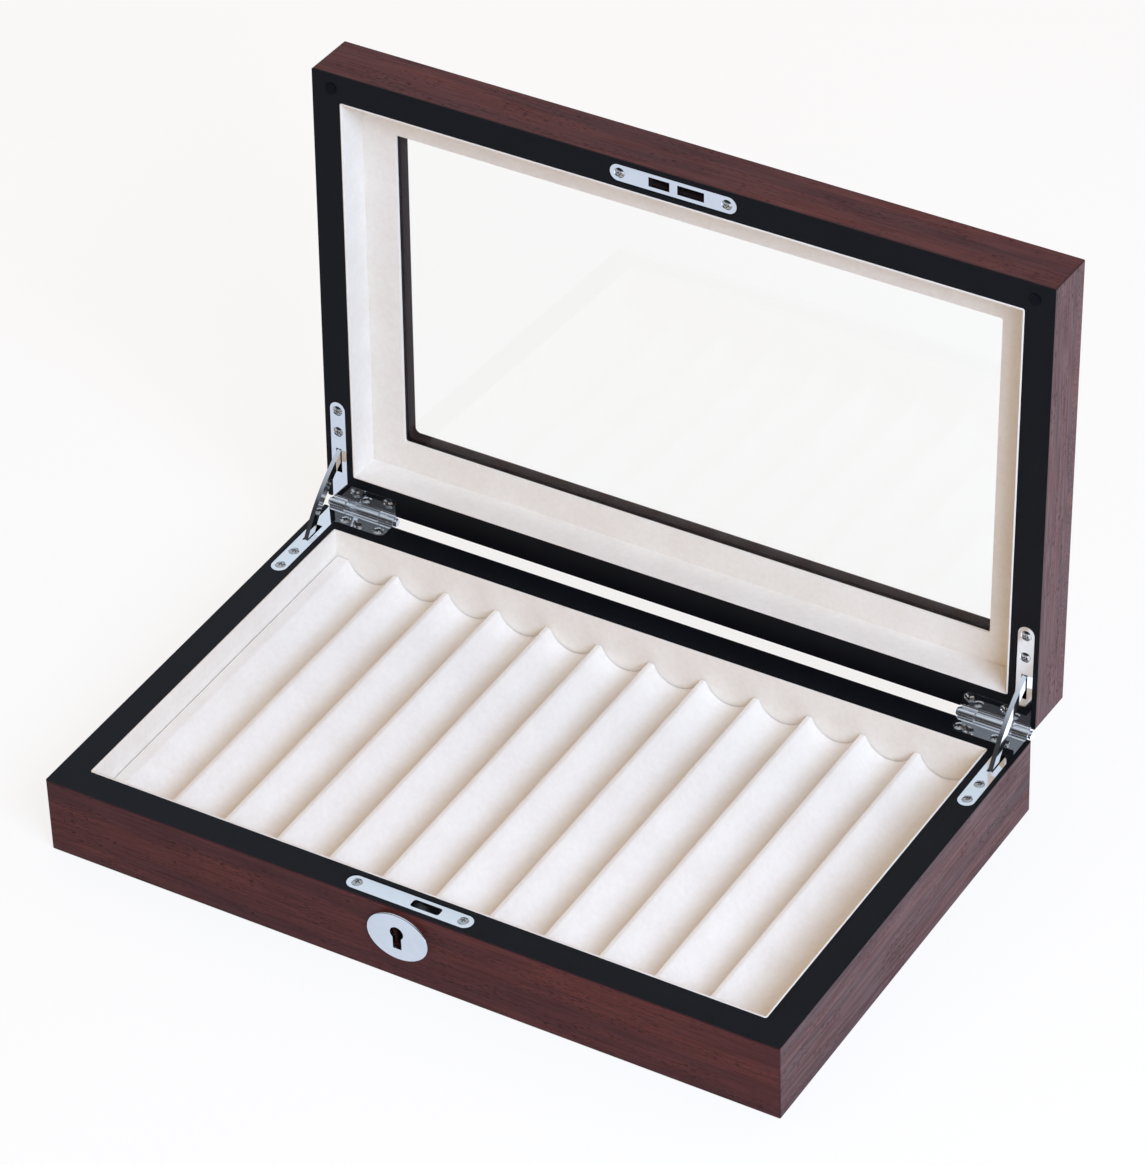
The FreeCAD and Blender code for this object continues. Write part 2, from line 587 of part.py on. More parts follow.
def pen_tray():
    """Block between the linings with half-round grooves that run from front to back."""
    half_x = INNER_X - LINING - TRAY_CLEARANCE
    half_y = INNER_Y - LINING - TRAY_CLEARANCE
    tray = middle_box(half_x, half_y, FLOOR_TOP, TRAY_TOP)
    rise = GROOVE_RADIUS - GROOVE_DEPTH
    pitch = 2 * math.sqrt(GROOVE_RADIUS ** 2 - rise ** 2) + RIDGE_WIDTH
    count = int((2 * half_x - 2 * TRAY_BORDER_LEAST + RIDGE_WIDTH) / pitch)
    grooves = []
    for i in range(count):
        start = V((i - (count - 1) / 2) * pitch, -half_y - PAST, TRAY_TOP + rise)
        grooves.append(Part.makeCylinder(GROOVE_RADIUS, 2 * half_y + 2 * PAST, start, V(0, 1, 0)))
    tray = tray.cut(grooves)
    side_edge = half_x - TRAY_BORDER_LEAST / 2

    def is_lip(edge):
        span = edge.BoundBox
        on_top = abs(span.Center.z - TRAY_TOP) < RIDGE_ROUND / 2
        return on_top and span.YLength > half_y and abs(span.Center.x) < side_edge

    return tray.makeFillet(min(RIDGE_ROUND, RIDGE_WIDTH / 3), [edge for edge in tray.Edges if is_lip(edge)])


# The whole case, piece by piece

def base_pieces():
    """Everything that stands still, by node name."""
    rebate = middle_box(INNER_X + BOTTOM_REBATE, INNER_Y + BOTTOM_REBATE, -PAST, FLOOR_TOP)
    cuts = hinge_cuts() + plate_cuts() + [lock_mortise()]
    walls = mitred_walls(case_block(0, BASE_HEIGHT - RIM_BAND, 0), cuts + [rebate, key_hole()])
    panel_x = INNER_X + BOTTOM_REBATE - PANEL_CLEARANCE
    panel_y = INNER_Y + BOTTOM_REBATE - PANEL_CLEARANCE
    linings = lining_boards(FLOOR_TOP, BASE_HEIGHT - RIM_BAND)
    leaf = hinge_leaf(BASE_KNUCKLES, PIN_SEAT_CLEARANCE)
    pin = hinge_pin()
    pieces = {"base_%s_wall" % side: wall for side, wall in walls.items()}
    pieces.update({"base_lining_%s" % side: board for side, board in linings.items()})
    pieces.update({
        "base_rim_band": rim_ring().cut(cuts),
        "bottom_panel": middle_box(panel_x, panel_y, FELT, FLOOR_TOP),
        "underside_felt": middle_box(panel_x, panel_y, 0, FELT),
        "pen_tray": pen_tray(),
        "hinge_base_leaf_right": leaf,
        "hinge_base_leaf_left": other_hand(leaf),
        "hinge_pin_right": pin,
        "hinge_pin_left": other_hand(pin),
        "base_hinge_screws": Part.makeCompound(both_hands([screw(x, y, LEAF) for x, y in screw_places()])),
        "lock_plate": front_plate([bolt_hole()]),
        "lock_plate_screws": Part.makeCompound([screw(x, y, PLATE) for x, y in plate_screw_places()]),
        "lock_case": lock_case(),
        "lock_post": lock_post(),
        "escutcheon": escutcheon(),
    })
    return pieces


def lid_pieces():
    """Everything that swings with the lid, by node name, drawn shut."""
    cuts = [facing(cut) for cut in hinge_cuts() + plate_cuts()] + [strike_mortise()]
    cuts += [bumper(x, y, BUMPER_CLEARANCE) for x, y in bumper_places()]
    walls = mitred_walls(case_block(LID_RIM + RIM_BAND, TOP_PANEL_UNDER), cuts)
    linings = lining_boards(LID_RIM + RIM_BAND, WINDOW_LINING_UNDER)
    top = case_block(TOP_PANEL_UNDER, LID_TOP, LID_TOP)
    top = top.cut([window_hole(TOP_PANEL_UNDER, LID_TOP, WINDOW_CORNER)] + cuts)
    glass = middle_box(INNER_X - GLASS_CLEARANCE, INNER_Y - GLASS_CLEARANCE, GLASS_UNDER, TOP_PANEL_UNDER)
    window_lining = middle_box(INNER_X, INNER_Y, WINDOW_LINING_UNDER, GLASS_UNDER)
    lining_hole = window_hole(WINDOW_LINING_UNDER, GLASS_UNDER, WINDOW_LINING_CORNER)
    leaf = facing(hinge_leaf(LID_KNUCKLES, PIN_RUN_CLEARANCE))
    strike_holes = [plate_hole(STRIKE_SMALL_LEFT, STRIKE_SMALL_RIGHT),
                    plate_hole(STRIKE_LARGE_LEFT, BOLT_SLOT_RIGHT)]
    leaf_screws = both_hands([facing(screw(x, y, LEAF)) for x, y in screw_places()])
    strike_screws = [facing(screw(x, y, PLATE)) for x, y in plate_screw_places()]
    pieces = {"lid_%s_wall" % side: wall for side, wall in walls.items()}
    pieces.update({"lid_lining_%s" % side: board for side, board in linings.items()})
    pieces.update({
        "lid_rim_band": facing(rim_ring()).cut(cuts),
        "lid_top_panel": top,
        "window_glass": glass,
        "window_lining": window_lining.cut(lining_hole),
        "hinge_lid_leaf_right": leaf,
        "hinge_lid_leaf_left": other_hand(leaf),
        "lid_hinge_screws": Part.makeCompound(leaf_screws),
        "strike_plate": facing(front_plate(strike_holes)),
        "strike_plate_screws": Part.makeCompound(strike_screws),
        "lid_bumpers": Part.makeCompound([bumper(x, y) for x, y in bumper_places()]),
    })
    return pieces


def moving_pieces():
    """The stay arms and the lock's hook, by node name."""
    arm = stay_arm()
    return {"stay_arm_right": arm, "stay_arm_left": other_hand(arm), "lock_hook": lock_hook()}


def main():
    os.makedirs("parts", exist_ok=True)
    pieces = dict(base_pieces())
    pieces.update({name: opened(shape) for name, shape in lid_pieces().items()})
    pieces.update(moving_pieces())
    for name, shape in pieces.items():
        shape.exportStep("parts/%s.step" % name)
        facts = (name, len(shape.Solids), shape.Volume, shape.isValid())
        print("%-24s solids %d  volume %.1f  valid %s" % facts)
    print("hinge axis at y %.3f, z %.3f" % (AXIS_Y, AXIS_Z))
    print("keyhole axis at x %.3f, z %.3f, hook nose at %.2f degrees" % (KEY_X, KEY_Z, HOOK_NOSE))


main()
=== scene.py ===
"""Looks for a fountain pen case: veneered boards, black rims, velour, polished hinges and lock, glass.

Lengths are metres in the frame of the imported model. Pieces of the lid are worked out with the lid shut
and then turned open about the hinge axis, as the boards are.
"""

import json
import math

import bpy
import numpy as np
from bpy.props import FloatProperty, FloatVectorProperty, IntProperty, PointerProperty
from mathutils import Matrix, Vector


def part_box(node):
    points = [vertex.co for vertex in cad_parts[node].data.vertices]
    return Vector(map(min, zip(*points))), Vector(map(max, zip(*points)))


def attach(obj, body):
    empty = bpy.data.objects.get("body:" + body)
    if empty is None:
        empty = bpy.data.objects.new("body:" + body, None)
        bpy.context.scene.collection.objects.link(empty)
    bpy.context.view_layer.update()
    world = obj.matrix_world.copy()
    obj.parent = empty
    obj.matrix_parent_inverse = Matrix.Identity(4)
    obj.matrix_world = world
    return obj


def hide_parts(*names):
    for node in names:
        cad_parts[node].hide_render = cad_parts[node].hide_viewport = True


bl_info = {
    "name": "Pen case looks",
    "version": (1, 0, 0),
    "blender": (4, 5, 0),
    "location": "View3D > Sidebar > Pen case",
    "description": "Dresses a fountain pen case in veneer, lacquer, velour, polished metal and glass",
    "category": "Object",
}

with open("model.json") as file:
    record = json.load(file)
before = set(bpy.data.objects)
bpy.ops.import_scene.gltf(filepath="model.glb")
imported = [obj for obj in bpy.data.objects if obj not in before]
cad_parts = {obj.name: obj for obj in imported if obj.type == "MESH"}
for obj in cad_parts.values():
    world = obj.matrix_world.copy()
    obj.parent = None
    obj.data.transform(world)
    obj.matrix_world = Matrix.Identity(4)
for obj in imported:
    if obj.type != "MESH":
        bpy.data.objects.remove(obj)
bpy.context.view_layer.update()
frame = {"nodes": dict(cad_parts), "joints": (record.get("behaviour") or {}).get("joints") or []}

# Places read from the frame
LID_HINGE = next(joint for joint in frame["joints"] if joint["name"] == "lid_hinge")
HINGE_Y, HINGE_Z = LID_HINGE["pos_m"][1:]
OPEN_ANGLE = math.radians(LID_HINGE["range_deg"][1])
RIM_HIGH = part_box("base_rim_band")[1]
HALF_WIDTH = RIM_HIGH.x
HALF_DEPTH = RIM_HIGH.y
FELT_LOW, FELT_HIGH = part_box("underside_felt")
TRAY_LOW, TRAY_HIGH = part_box("pen_tray")
BASE_LINING_LOW, BASE_LINING_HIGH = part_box("base_lining_right")
INNER_X = BASE_LINING_HIGH.x
INNER_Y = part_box("base_lining_back")[1].y
LINING = BASE_LINING_HIGH.x - BASE_LINING_LOW.x
SIDES = ("front", "right", "back", "left")

# Width of the dark band along the edges, and depth of the veneer on the sides and on the outer face
EDGE_BAND = 0.0011
SIDE_SKIN = 0.0012
OUTER_SKIN = 0.0003

# Rounding of the boards' upright edges, and how near to it still counts as on it
EDGE_ROUND = 0.0007
HAIR = 0.00003

# Veneer patterns: waves per metre along and across the grain, detail, roughness, distortion
BANDS = (5, 90, 3.0, 0.55, 0.6)
FIBRES = (28, 1300, 3.0, 0.6, 0.0)
STREAKS = (45, 850, 2.0, 0.55, 0.0)
PORES = (300, 2300, 1.0, 0.4, 0.0)
PATCHES = (35, 170, 2.0, 0.5, 0.0)

# Step of the veneer's patterns from board to board, and their place on the lid's top panel
BOARD_SHIFT = (0.37, 0.11, 0.23)
PANEL_SHIFT = (1.3, 0.4, 0.2)

# How far the veneer's edges go to the colour of its pores, and how much lighter the lid's veneer is painted
# than the base's, which is painted light on the lid
EDGE_DARKNESS = 0.8
LID_PAINTED_LIGHT = 1.2

# Hinge barrels: how far they reach from the hinge axis, and their roughness
BARREL_REACH = 0.003
BARREL_ROUGH = 0.2

# Slow waves of soft surfaces: radians per metre to the back and to the right, phase and weight
FELT_WAVES = ((83, 57, 0.0, 1.0), (139, -91, 0.8, 1.0))
TRAY_WAVES = ((70, 41, 0.0, 1.0), (113, -77, 1.3, 1.0), (260, 190, 0.6, 0.7))

# Points of soft surfaces between their rounded edges, to the right and to the back
FELT_STEPS = (90, 56)
TRAY_STEPS = (620, 64)

# Rounding of a lining's fold and of its hidden edges, as shares of its thickness
FOLD_ROUND = 0.49
HIDDEN_ROUND = 0.1

# Share of the window's corner radius that is left at the outer edge of its border
OUTER_CORNER = 0.05

# Floor: half its width, how far it lies below the felt, and its grey in light
FLOOR_REACH = 12.0
FLOOR_DROP = 0.0002
FLOOR_GREY = 0.86

# Mirrored floor on the right: X where it shows fully, and the stretch over which it comes up
SIDE_FLOOR = (0.19, 0.03)

# Mirrored sky: Y or Z of the ray's direction where it shows fully, and the stretch over which it comes up
SKY_BEHIND = (0.05, 0.45)
SKY_ABOVE = (0.95, 0.33)

WHITE = (1.0, 1.0, 1.0, 1.0)


def lid_turned(points, turn):
    """Points of the lid, turned about the hinge axis.

    With y and z counted from the axis, a point goes to (y cos turn - z sin turn, y sin turn + z cos turn).
    """
    cosine, sine = math.cos(turn), math.sin(turn)
    y, z = points[..., 1] - HINGE_Y, points[..., 2] - HINGE_Z
    return np.stack([points[..., 0], HINGE_Y + cosine * y - sine * z,
                     HINGE_Z + sine * y + cosine * z], -1)


def shut_points(node):
    """Points of a node of the lid, turned back to where they are with the lid shut."""
    vertices = frame["nodes"][node].data.vertices
    points = np.empty(3 * len(vertices), np.float32)
    vertices.foreach_get("co", points)
    return lid_turned(points.reshape(-1, 3).astype(float), OPEN_ANGLE)


def shut_span(node):
    """Lowest and highest corners of a node of the lid, measured with the lid shut."""
    points = shut_points(node)
    return points.min(0), points.max(0)


def window_reach():
    """Half the width and depth of the window and its shift to the back, read from its lining."""
    points = shut_points("window_lining")
    far_x, far_y = np.abs(points[:, :2]).T
    inner = points[(far_x < INNER_X - LINING) & (far_y < INNER_Y - LINING)]
    low, high = inner.min(0), inner.max(0)
    return float(high[0] - low[0]) / 2, float(high[1] - low[1]) / 2, float(high[1] + low[1]) / 2


# Settings

def srgb(red, green, blue):
    """Linear colour of a colour that is given as it shows on a screen, 0 to 255."""
    shown = np.array([red, green, blue]) / 255
    return tuple(np.where(shown <= 0.04045, shown / 12.92, ((shown + 0.055) / 1.055) ** 2.4))


def colour(name, description, shown):
    """Colour property with a screen colour as its default."""
    return FloatVectorProperty(name=name, description=description, subtype="COLOR", size=3, min=0, max=1,
                               default=srgb(*shown))


def length(name, description, default):
    """Length property in metres."""
    return FloatProperty(name=name, description=description, default=default, unit="LENGTH", precision=5)


def number(name, description, default):
    """Plain number property."""
    return FloatProperty(name=name, description=description, default=default)


def pixels(name, description, default):
    """Property for a measure in pixels of the view."""
    return FloatProperty(name=name, description=description, default=default, subtype="PIXEL")


def angle(name, description, degrees):
    """Angle property with its default in degrees."""
    return FloatProperty(name=name, description=description, default=math.radians(degrees), subtype="ANGLE")


def power(name, description, default):
    """Property for the power of a light."""
    return FloatProperty(name=name, description=description, default=default, unit="POWER")


def place(name, description, default):
    """Property for a place in metres."""
    return FloatVectorProperty(name=name, description=description, size=3, subtype="TRANSLATION",
                               default=default)


class CaseSizes(bpy.types.PropertyGroup):
    """Sizes of the soft pieces that the looks add."""

    groove_count: IntProperty(name="Grooves", description="Grooves across the tray", default=12, min=1)
    groove_radius: length("Groove radius", "Radius of the half-round grooves", 0.0116)
    groove_depth: length("Groove depth", "Depth of the grooves below the ridges", 0.0087)
    ridge_width: length("Ridge width", "Width of the ridges between the grooves", 0.00264)
    ridge_ease: length("Ridge ease", "How far the cloth rounds off the ridges", 0.0012)
    tray_edge: length("Tray edge", "Rounding where the cloth turns down at the tray's sides", 0.0009)
    tray_waver: length("Tray waver", "How far the cloth lies unevenly on the tray", 0.00009)
    lining_corner: length("Lining corner", "Radius of the lining in the corners, at the wall", 0.0011)
    lining_clear: length("Lining clearance", "Gap that keeps the lining off its neighbours", 0.00005)
    lining_proud: length("Lining proud", "How far the cloth stands up past the rims", 0.00025)
    window_edge: length("Window edge", "Rounding of the cloth round the window", 0.0005)
    window_corner: length("Window corner", "Radius of the cloth in the window's corners", 0.001)
    felt_edge: length("Felt edge", "Rounding of the felt's edges", 0.0004)
    felt_waver: length("Felt waver", "How unevenly the felt lies", 0.00006)


class CaseColours(bpy.types.PropertyGroup):
    """Colours of the finishes."""

    veneer_dark: colour("Veneer dark", "Darker bands of the veneer", (66, 30, 29))
    veneer_mid: colour("Veneer", "Main colour of the veneer", (81, 36, 33))
    veneer_light: colour("Veneer light", "Lighter, redder bands of the veneer", (95, 43, 36))
    veneer_pore: colour("Pores", "Open pores of the veneer", (47, 22, 24))
    # One dark colour for the black paint at the window's edge and the painted shade in the keyhole,
    # mortises and gaps.
    inner_stain_and_shade: colour("Inner stain", "Dark stain inside the boards", (50, 38, 37))
    lacquer: colour("Lacquer", "Black lacquer on the rims", (17, 18, 22))
    velour: colour("Velour", "Cloth of the tray and the linings", (246, 240, 230))
    velour_shade: colour("Velour shade", "Cloth where the nap lies the other way", (239, 231, 220))
    polish: colour("Polished metal", "Hinges, stays and lock plates", (246, 247, 249))
    nickel: colour("Screws", "Heads of the screws, duller than the plates", (190, 188, 186))
    steel: colour("Lock steel", "Hook, post and case of the lock", (170, 170, 172))
    felt: colour("Felt", "Felt under the base", (38, 30, 30))
    board: colour("Board", "Board of the bottom panel", (150, 118, 84))
    rubber: colour("Bumpers", "Bumpers on the lid's rim", (17, 19, 23))


class CaseStage(bpy.types.PropertyGroup):
    """Camera, light and floor."""

    image_width: pixels("Image width", "Width of the view in pixels", 1145)
    image_height: pixels("Image height", "Height of the view in pixels", 1165)
    focal: pixels("Focal length", "Focal length in pixels of the view", 5789.2)
    centre: FloatVectorProperty(name="Centre", description="Pixel that the camera points at", size=2,
                                default=(572.0, 602.0))
    azimuth: angle("Azimuth", "Turn of the camera to the right of the front", 31.649)
    elevation: angle("Elevation", "Height of the camera as an angle", 37.679)
    roll: angle("Roll", "Tilt of the camera about its own axis", -2.056)
    camera_place: place("Camera", "Where the camera stands", (0.96956, -1.54267, 1.52408))
    light_target: place("Light target", "Where the lights point", (0.0, 0.0, 0.08))
    light_tint: colour("Light tint", "Colour of the lights", (191, 219, 255))
    key_place: place("Key light", "Where the large light hangs", (1.55, -1.0, 1.5))
    key_size: length("Key light size", "Side of the large light", 1.2)
    key_power: power("Key light power", "Power of the large light", 59)
    overhead_place: place("Overhead light", "Where the overhead light hangs", (-0.5, 0.4, 2.3))
    overhead_size: length("Overhead light size", "Side of the overhead light", 2.0)
    overhead_power: power("Overhead light power", "Power of the overhead light", 2)
    shade_tint: colour("Shade tint", "Colour of the even light, which reaches the shade", (255, 220, 180))
    sky: number("Sky", "Strength of the even light from all round", 0.5)
    sky_tint: colour("Sky tint", "Colour behind and above the case, as metal mirrors it", (217, 229, 242))
    room_tint: colour("Room tint", "Colour of the dim room in front, as metal mirrors it", (60, 62, 66))
    near_tint: colour("Near floor", "Colour of the floor in front, as metal mirrors it", (210, 220, 236))
    side_tint: colour("Side floor", "Colour of the floor on the right, as it is mirrored", (232, 238, 255))
    side_glow: number("Side glow", "Strength of the mirrored floor on the right", 1.75)
    floor_pale: FloatProperty(name="Floor white", description="Share of the floor that is plain white",
                              default=0.78, min=0, max=1, subtype="FACTOR")
    floor_glow: number("Floor glow", "Strength of the floor's plain white", 1.06)


# Node trees

def fill(tree, node, inputs):
    """Fills a node's inputs with values or with other nodes' outputs."""
    for key, value in inputs.items():
        if isinstance(value, bpy.types.NodeSocket):
            tree.links.new(value, node.inputs[key])
        else:
            node.inputs[key].default_value = value


def add(tree, kind, inputs, **settings):
    """Adds a node, makes its settings and fills its inputs."""
    made = tree.nodes.new(kind)
    for key, value in settings.items():
        setattr(made, key, value)
    fill(tree, made, inputs)
    return made


def solid(colour_value):
    """Colour with full opacity for a socket."""
    return (*colour_value, 1.0)


def scaled(colour_value, factor):
    """Colour made lighter or darker by a factor."""
    return tuple(factor * channel for channel in colour_value)


def new_material(name):
    """Empty material with a surface shader and its output."""
    made = bpy.data.materials.new(name)
    made.use_nodes = True
    tree = made.node_tree
    tree.nodes.clear()
    shader = add(tree, "ShaderNodeBsdfPrincipled", {})
    output = add(tree, "ShaderNodeOutputMaterial", {"Surface": shader.outputs["BSDF"]})
    return made, tree, shader, output


def object_place(tree):
    """Object coordinates."""
    return add(tree, "ShaderNodeTexCoord", {}).outputs["Object"]


def light_path(tree):
    """Outputs that tell what kind of ray it is."""
    return add(tree, "ShaderNodeLightPath", {}).outputs


def shut_place(tree, body):
    """Object coordinates, for the lid turned back to where they are with the lid shut."""
    if body == "base":
        return object_place(tree)
    axis = Vector((0, HINGE_Y, HINGE_Z))
    shift = axis - Matrix.Rotation(OPEN_ANGLE, 3, "X") @ axis
    turned = add(tree, "ShaderNodeMapping", {"Vector": object_place(tree), "Rotation": (OPEN_ANGLE, 0, 0),
                                             "Location": shift})
    return turned.outputs["Vector"]


def stretched(tree, where, scale, turn=(0.0, 0.0, 0.0), shift=(0.0, 0.0, 0.0)):
    """A place, turned so that X runs along the grain, and then stretched."""
    along = add(tree, "ShaderNodeMapping", {"Vector": where, "Rotation": turn, "Location": shift})
    made = add(tree, "ShaderNodeMapping", {"Vector": along.outputs["Vector"], "Scale": scale})
    return made.outputs["Vector"]


def separated(tree, where):
    """Outputs for X, Y and Z of a place."""
    return add(tree, "ShaderNodeSeparateXYZ", {"Vector": where}).outputs


def reckon(tree, operation, *values):
    """Result of one operation on values or outputs."""
    made = add(tree, "ShaderNodeMath", dict(enumerate(values)), operation=operation)
    return made.outputs["Value"]


def diagonal(tree, first, second):
    """Square root of the sum of two squares."""
    squares = [reckon(tree, "MULTIPLY", side, side) for side in (first, second)]
    return reckon(tree, "SQRT", reckon(tree, "ADD", *squares))


def away(tree, where):
    """Distances of a place from the middle along X and Y, and its height."""
    parts = separated(tree, where)
    return reckon(tree, "ABSOLUTE", parts["X"]), reckon(tree, "ABSOLUTE", parts["Y"]), parts["Z"]


def near(tree, value, edge, reach):
    """1 at an edge, falling to 0 at a reach before it; a negative reach counts from the other side."""
    made = add(tree, "ShaderNodeMapRange", {"Value": value, "From Min": edge - reach, "From Max": edge})
    return made.outputs["Result"]


def noise(tree, vector, scale=1.0, detail=2.0, roughness=0.5, distortion=0.0):
    """Value of a noise pattern."""
    made = add(tree, "ShaderNodeTexNoise", {"Vector": vector, "Scale": scale, "Detail": detail,
                                            "Roughness": roughness, "Distortion": distortion})
    return made.outputs["Fac"]


def ramp(tree, value, stops):
    """Colour ramp: stops are pairs of place and colour or grey."""
    made = add(tree, "ShaderNodeValToRGB", {"Fac": value})
    elements = made.color_ramp.elements
    while len(elements) < len(stops):
        elements.new(1.0)
    for element, (position, tone) in zip(elements, stops):
        element.position = position
        element.color = solid((tone, tone, tone) if isinstance(tone, float) else tone)
    return made.outputs["Color"]


def mix(tree, share, first, second, blend="MIX"):
    """Mix of two colours by a share."""
    made = add(tree, "ShaderNodeMixRGB", {"Fac": share, "Color1": first, "Color2": second},
               blend_type=blend)
    return made.outputs["Color"]


def mix_shaders(tree, share, first, second):
    """Mix of two surfaces by a share."""
    return add(tree, "ShaderNodeMixShader", {0: share, 1: first, 2: second}).outputs["Shader"]


def span(tree, value, low, high):
    """Value from 0 to 1 brought to the span from low to high."""
    made = add(tree, "ShaderNodeMapRange", {"Value": value, "To Min": low, "To Max": high})
    return made.outputs["Result"]


def bump(tree, height, distance, strength):
    """Normal of a surface that stands up by a height times a distance."""
    made = add(tree, "ShaderNodeBump", {"Height": height, "Distance": distance, "Strength": strength})
    return made.outputs["Normal"]


def emission(tree, tint, strength):
    """Surface that shines by itself."""
    return add(tree, "ShaderNodeEmission", {"Color": tint, "Strength": strength}).outputs["Emission"]


# Finishes

def veneer_pattern(tree, where, pattern, grain, shift):
    """Noise drawn out along the grain; grain is the turn about Z that brings it to X."""
    along, across, detail, roughness, distortion = pattern
    drawn_out = stretched(tree, where, (along, across, across), (0, 0, grain), shift)
    return noise(tree, drawn_out, 1.0, detail, roughness, distortion)


def outer_edges(tree, x, y, z, body, outer):
    """1 along the edges where two outer faces of the case meet, falling to 0 over the edge band."""
    edge_x = near(tree, x, HALF_WIDTH, EDGE_BAND)
    edge_y = near(tree, y, HALF_DEPTH, EDGE_BAND)
    edge_z = near(tree, z, outer, EDGE_BAND if body == "lid" else -EDGE_BAND)
    pairs = ((edge_x, edge_y), (edge_y, edge_z), (edge_z, edge_x))
    first, second, third = [reckon(tree, "MULTIPLY", *pair) for pair in pairs]
    return reckon(tree, "MAXIMUM", reckon(tree, "MAXIMUM", first, second), third)


def below_skin(tree, x, y, z, body, outer):
    """1 deeper in the boards than the veneer, as at the window's edge and in the mortises, and 0 on it."""
    if body == "lid":
        inside = reckon(tree, "LESS_THAN", z, outer - OUTER_SKIN)
    else:
        inside = reckon(tree, "GREATER_THAN", z, outer + OUTER_SKIN)
    deep = reckon(tree, "MULTIPLY", reckon(tree, "LESS_THAN", x, HALF_WIDTH - SIDE_SKIN),
                  reckon(tree, "LESS_THAN", y, HALF_DEPTH - SIDE_SKIN))
    return reckon(tree, "MULTIPLY", deep, inside)


def veneer(name, body, grain, shift, outer):
    """Satin dark veneer: slow bands, fine fibres and short open pores, all drawn out along the grain.

    The finish is a little darker along the edges of the box, where two outer faces meet, and what lies
    deeper than the veneer is made nearly black: black paint at the window's edge, and painted shade in the
    keyhole, the mortises and the gaps behind the lining; outer is the height of the body's outer face with
    the lid shut.
    """
    colours = bpy.context.scene.pen_case_colours
    made, tree, shader, _ = new_material(name)
    where = shut_place(tree, body)
    bands, fibres, streaks, pores, patches = [veneer_pattern(tree, where, pattern, grain, shift)
                                              for pattern in (BANDS, FIBRES, STREAKS, PORES, PATCHES)]
    # Painted light: the lid's veneer is the same as the base's, made lighter to stand for the light that
    # falls on it.
    painted_lift = LID_PAINTED_LIGHT if body == "lid" else 1.0
    dark, middle, light = [scaled(tone, painted_lift) for tone in (colours.veneer_dark, colours.veneer_mid,
                                                           colours.veneer_light)]
    tone = ramp(tree, bands, [(0.30, dark), (0.50, middle), (0.70, light)])
    tone = mix(tree, 0.5, tone, ramp(tree, fibres, [(0.25, 0.25), (0.75, 0.75)]), "SOFT_LIGHT")
    tone = mix(tree, 0.4, tone, ramp(tree, streaks, [(0.3, 0.7), (0.7, 0.3)]), "SOFT_LIGHT")
    open_pores = ramp(tree, pores, [(0.56, 0.0), (0.62, 1.0)])
    where_open = ramp(tree, patches, [(0.36, 0.10), (0.58, 0.70)])
    pore_share = mix(tree, 1.0, open_pores, where_open, "MULTIPLY")
    tone = mix(tree, pore_share, tone, solid(colours.veneer_pore))
    x, y, z = away(tree, where)
    edges = outer_edges(tree, x, y, z, body, outer)
    tone = mix(tree, reckon(tree, "MULTIPLY", edges, EDGE_DARKNESS), tone, solid(colours.veneer_pore))
    deep = below_skin(tree, x, y, z, body, outer)
    # Painted shade in the keyhole, the mortises and the gaps, and black paint at the window's edge.
    tone = mix(tree, deep, tone, solid(colours.inner_stain_and_shade))
    dull = reckon(tree, "MAXIMUM", deep, pore_share)
    gloss = ramp(tree, streaks, [(0.35, 0.32), (0.65, 0.50)])
    relief = mix(tree, 0.35, ramp(tree, pore_share, [(0.0, 1.0), (1.0, 0.0)]), fibres)
    fill(tree, shader, {"Base Color": tone, "Specular IOR Level": 0.19,
                        "Roughness": reckon(tree, "MAXIMUM", gloss, dull),
                        "Normal": bump(tree, relief, distance=0.00006, strength=0.5)})
    return made


def past_core(tree, value, half):
    """How far a value reaches past the flat part of a side that ends in a rounded edge."""
    return reckon(tree, "MAXIMUM", reckon(tree, "SUBTRACT", value, half - EDGE_ROUND), 0.0)


def lacquer(name, body):
    """Black lacquer over wood: satin, with a faint orange-peel surface.

    The veneer of the boards runs on up the outer sides of the rim. A place is on such a side where its
    distance from the core of the rounded box is the rounding: sqrt(past_x squared + past_y squared).
    """
    colours = bpy.context.scene.pen_case_colours
    made, tree, shader, _ = new_material(name)
    where = shut_place(tree, body)
    cloud = noise(tree, where, scale=60.0, detail=3.0)
    peel = noise(tree, where, scale=900.0, detail=2.0)
    black = ramp(tree, cloud, [(0.3, scaled(colours.lacquer, 0.8)), (0.7, colours.lacquer)])
    x, y, _ = away(tree, where)
    past_x = past_core(tree, x, HALF_WIDTH)
    past_y = past_core(tree, y, HALF_DEPTH)
    side = reckon(tree, "GREATER_THAN", diagonal(tree, past_x, past_y), EDGE_ROUND - HAIR)
    wood = ramp(tree, cloud, [(0.3, colours.veneer_pore), (0.7, colours.veneer_dark)])
    fill(tree, shader, {"Base Color": mix(tree, side, black, wood), "Specular IOR Level": 0.12,
                        "Roughness": span(tree, cloud, 0.36, 0.46),
                        "Normal": bump(tree, peel, distance=0.00002, strength=0.35)})
    return made


def velour(name):
    """Short cream nap: fine fuzz in the surface, soft cloudy shading and a sheen at low angles."""
    colours = bpy.context.scene.pen_case_colours
    made, tree, shader, _ = new_material(name)
    where = object_place(tree)
    fuzz = noise(tree, where, scale=1500.0, detail=4.0, roughness=0.7)
    tufts = noise(tree, where, scale=420.0, detail=3.0, roughness=0.6)
    clouds = noise(tree, where, scale=45.0, detail=3.0, roughness=0.55)
    lie = mix(tree, 0.5, clouds, tufts)
    tone = ramp(tree, lie, [(0.34, colours.velour_shade), (0.64, colours.velour)])
    tone = mix(tree, 0.22, tone, ramp(tree, fuzz, [(0.25, 0.3), (0.75, 0.7)]), "SOFT_LIGHT")
    nap = mix(tree, 0.4, fuzz, tufts)
    fill(tree, shader, {"Base Color": tone, "Roughness": 0.95, "Specular IOR Level": 0.1,
                        "Sheen Weight": 0.12, "Sheen Roughness": 0.6,
                        "Normal": bump(tree, nap, distance=0.00022, strength=0.55)})
    return made


